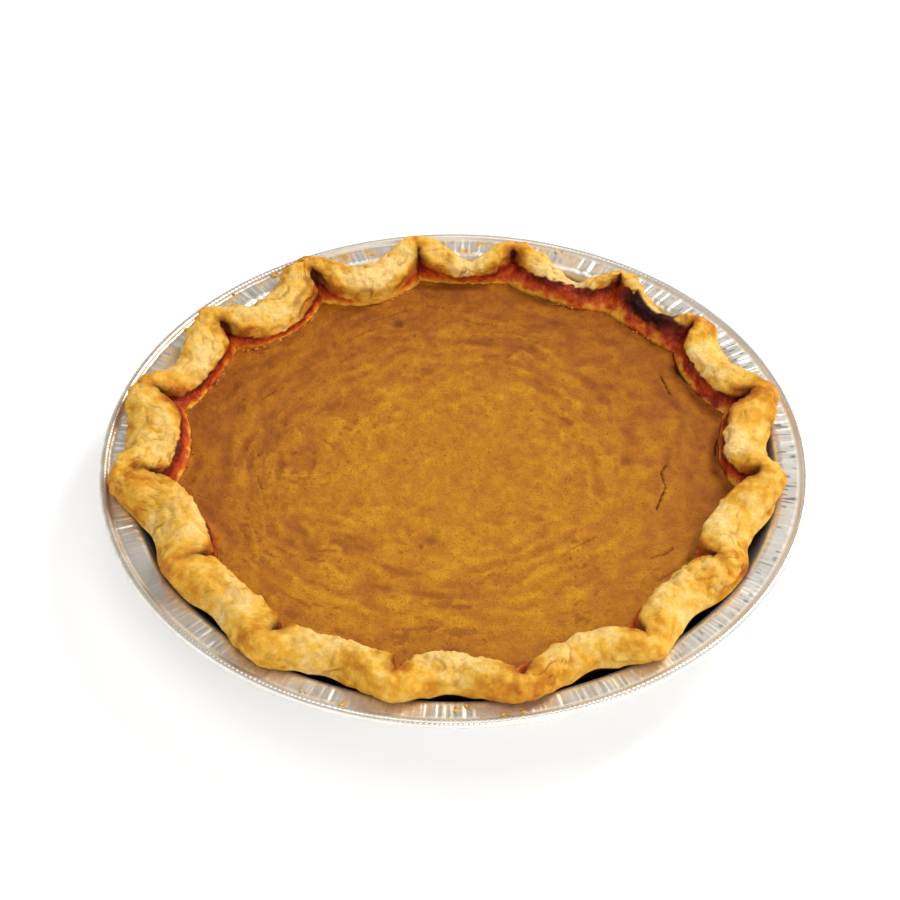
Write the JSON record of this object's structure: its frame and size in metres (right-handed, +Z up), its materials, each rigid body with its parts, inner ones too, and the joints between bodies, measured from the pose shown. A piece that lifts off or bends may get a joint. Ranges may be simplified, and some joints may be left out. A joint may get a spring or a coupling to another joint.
{
  "type": "pumpkin pie",
  "caption": "Whole round pumpkin pie with a hand-fluted pastry rim and a rippled custard filling, in a flanged foil pie tin.",
  "frame": {"origin": "on the surface that the pie stands on, under the middle of the tin", "axes": "+Z up through the middle of the pie; -Y towards the viewer, +X to the viewer's right"},
  "size_m": [0.244, 0.2438, 0.0397],
  "materials": {
    "foil": "bright thin foil, wrinkled",
    "pastry": "matte baked pastry",
    "custard": "satin baked custard"
  },
  "bodies": {
    "root": {"foil_tin": "foil", "crust": "pastry", "filling": "custard"}
  },
  "joints": []
}
